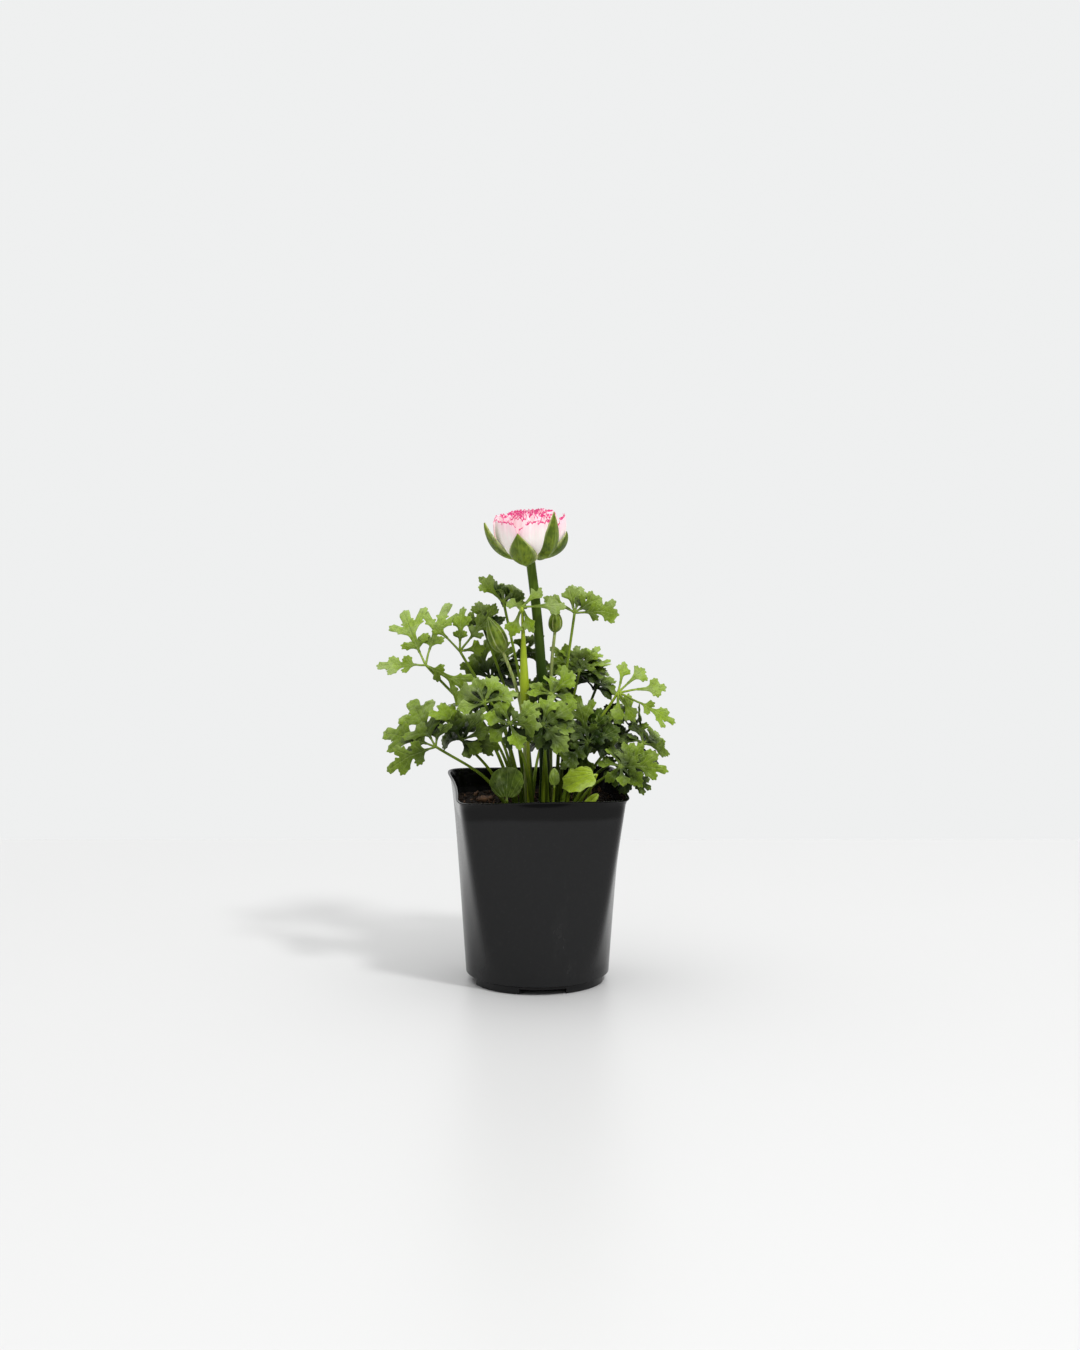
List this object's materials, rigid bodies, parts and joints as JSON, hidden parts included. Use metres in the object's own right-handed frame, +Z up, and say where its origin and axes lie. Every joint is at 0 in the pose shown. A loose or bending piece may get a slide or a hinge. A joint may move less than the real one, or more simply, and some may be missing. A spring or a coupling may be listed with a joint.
{
  "type": "potted ranunculus plant",
  "caption": "Potted ranunculus: an open cup-shaped pink and cream flower with closed buds and lobed compound leaves, growing in a square-topped black nursery pot.",
  "frame": {"origin": "middle of the pot's base, on the surface that it stands on", "axes": "+Z up along the pot's axis; X and Y square to the flat sides of the pot's rim, -Y the front"},
  "size_m": [0.1777, 0.1082, 0.2852],
  "materials": {
    "pot": "satin",
    "potting_mix": "matte",
    "bark": "matte",
    "stem": "satin",
    "petal": "satin",
    "sepal": "satin",
    "bud": "satin",
    "leaf": "satin",
    "young_leaf": "satin"
  },
  "bodies": {
    "root": {"pot": "pot", "potting_mix": "potting_mix", "bark_chip": "bark", "flower_stem": "stem", "petal_1": "petal", "petal_2": "petal", "petal_3": "petal", "petal_4": "petal", "petal_5": "petal", "petal_6": "petal", "petal_7": "petal", "petal_8": "petal", "petal_9": "petal", "petal_10": "petal", "petal_11": "petal", "petal_12": "petal", "petal_13": "petal", "petal_14": "petal", "petal_15": "petal", "petal_16": "petal", "petal_17": "petal", "sepal_1": "sepal", "sepal_2": "sepal", "sepal_3": "sepal", "sepal_4": "sepal", "sepal_5": "sepal", "bud_1": "bud", "bud_2": "bud", "leaf_far_left": "leaf", "leaf_low_left": "leaf", "leaf_left_stem": "leaf", "leaf_crown": "leaf", "leaf_crown_low": "leaf", "leaf_front_of_stem": "leaf", "leaf_top_right": "leaf", "leaf_back_right": "leaf", "leaf_upper_right": "leaf", "leaf_right": "leaf", "leaf_low_right": "leaf", "leaf_right_edge": "leaf", "leaf_centre": "leaf", "leaf_centre_front": "leaf", "leaf_centre_right": "leaf", "leaf_left_middle": "leaf", "leaf_back_left_upper": "leaf", "leaf_tall_right": "leaf", "leaf_middle": "leaf", "leaf_back_left": "leaf", "leaf_back": "leaf", "leaf_back_far_right": "leaf", "leaf_back_low": "leaf", "leaf_side_right": "leaf", "leaf_centre_back": "leaf", "round_leaf": "young_leaf", "fan_leaf": "young_leaf", "shoot_front": "young_leaf", "shoot_right": "young_leaf"}
  },
  "joints": []
}
